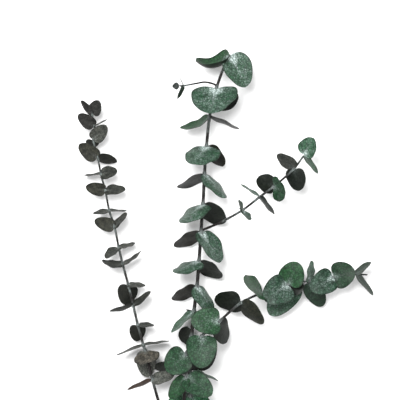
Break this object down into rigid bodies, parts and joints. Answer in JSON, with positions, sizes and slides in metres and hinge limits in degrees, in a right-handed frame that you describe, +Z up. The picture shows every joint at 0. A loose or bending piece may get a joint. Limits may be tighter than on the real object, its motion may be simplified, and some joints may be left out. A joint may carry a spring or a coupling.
{
  "type": "bunch of eucalyptus",
  "caption": "Lying bunch of preserved eucalyptus: long bare-ended stems fanned from their cut ends, with round waxy leaves in opposite pairs, for flower arranging and room dressing.",
  "frame": {"origin": "middle of the bunch's bounding box, on the surface that it lies on", "axes": "+Y from the cut ends towards the tips, +Z up out of the surface, +X towards the side of the two branching sprays"},
  "size_m": [0.2958, 0.5002, 0.048],
  "materials": {
    "green_leaf": "satin, with a whitish waxy bloom",
    "dusky_leaf": "matte",
    "bark": "matte",
    "bud": "matte"
  },
  "bodies": {
    "root": {"left_stem": "bark", "left_leaf_pair_01": "dusky_leaf", "left_leaf_pair_02": "dusky_leaf", "left_leaf_pair_03": "dusky_leaf", "left_leaf_pair_04": "dusky_leaf", "left_leaf_pair_05": "dusky_leaf", "left_leaf_pair_06": "dusky_leaf", "left_leaf_pair_07": "dusky_leaf", "left_leaf_pair_08": "dusky_leaf", "left_leaf_pair_09": "dusky_leaf", "left_leaf_pair_10": "dusky_leaf", "left_leaf_pair_11": "dusky_leaf", "left_leaf_pair_12": "dusky_leaf", "left_leaf_pair_13": "dusky_leaf", "left_leaf_pair_14": "dusky_leaf", "left_leaf_pair_15": "dusky_leaf", "left_leaf_pair_16": "dusky_leaf", "centre_stem": "bark", "centre_leaf_pair_01": "green_leaf", "centre_leaf_pair_02": "green_leaf", "centre_leaf_pair_03": "green_leaf", "centre_leaf_pair_04": "green_leaf", "centre_leaf_pair_05": "green_leaf", "centre_leaf_pair_06": "green_leaf", "centre_leaf_pair_07": "green_leaf", "centre_leaf_pair_08": "green_leaf", "centre_leaf_pair_09": "green_leaf", "centre_leaf_pair_10": "green_leaf", "centre_leaf_pair_11": "green_leaf", "centre_leaf_pair_12": "green_leaf", "centre_leaf_pair_13": "green_leaf", "right_stem": "bark", "right_leaf_pair_01": "green_leaf", "right_leaf_pair_02": "green_leaf", "right_leaf_pair_03": "green_leaf", "right_leaf_pair_04": "green_leaf", "right_leaf_pair_05": "green_leaf", "right_leaf_pair_06": "green_leaf", "right_leaf_pair_07": "green_leaf", "right_leaf_pair_08": "green_leaf", "right_leaf_pair_09": "green_leaf", "right_leaf_pair_10": "green_leaf", "right_leaf_pair_11": "green_leaf", "side_branch": "bark", "branch_leaf_pair_01": "green_leaf", "branch_leaf_pair_02": "green_leaf", "branch_leaf_pair_03": "green_leaf", "branch_leaf_pair_04": "green_leaf", "branch_leaf_pair_05": "green_leaf", "top_twig": "bark", "twig_leaf_pair_01": "green_leaf", "twig_bud": "bud"}
  },
  "joints": []
}
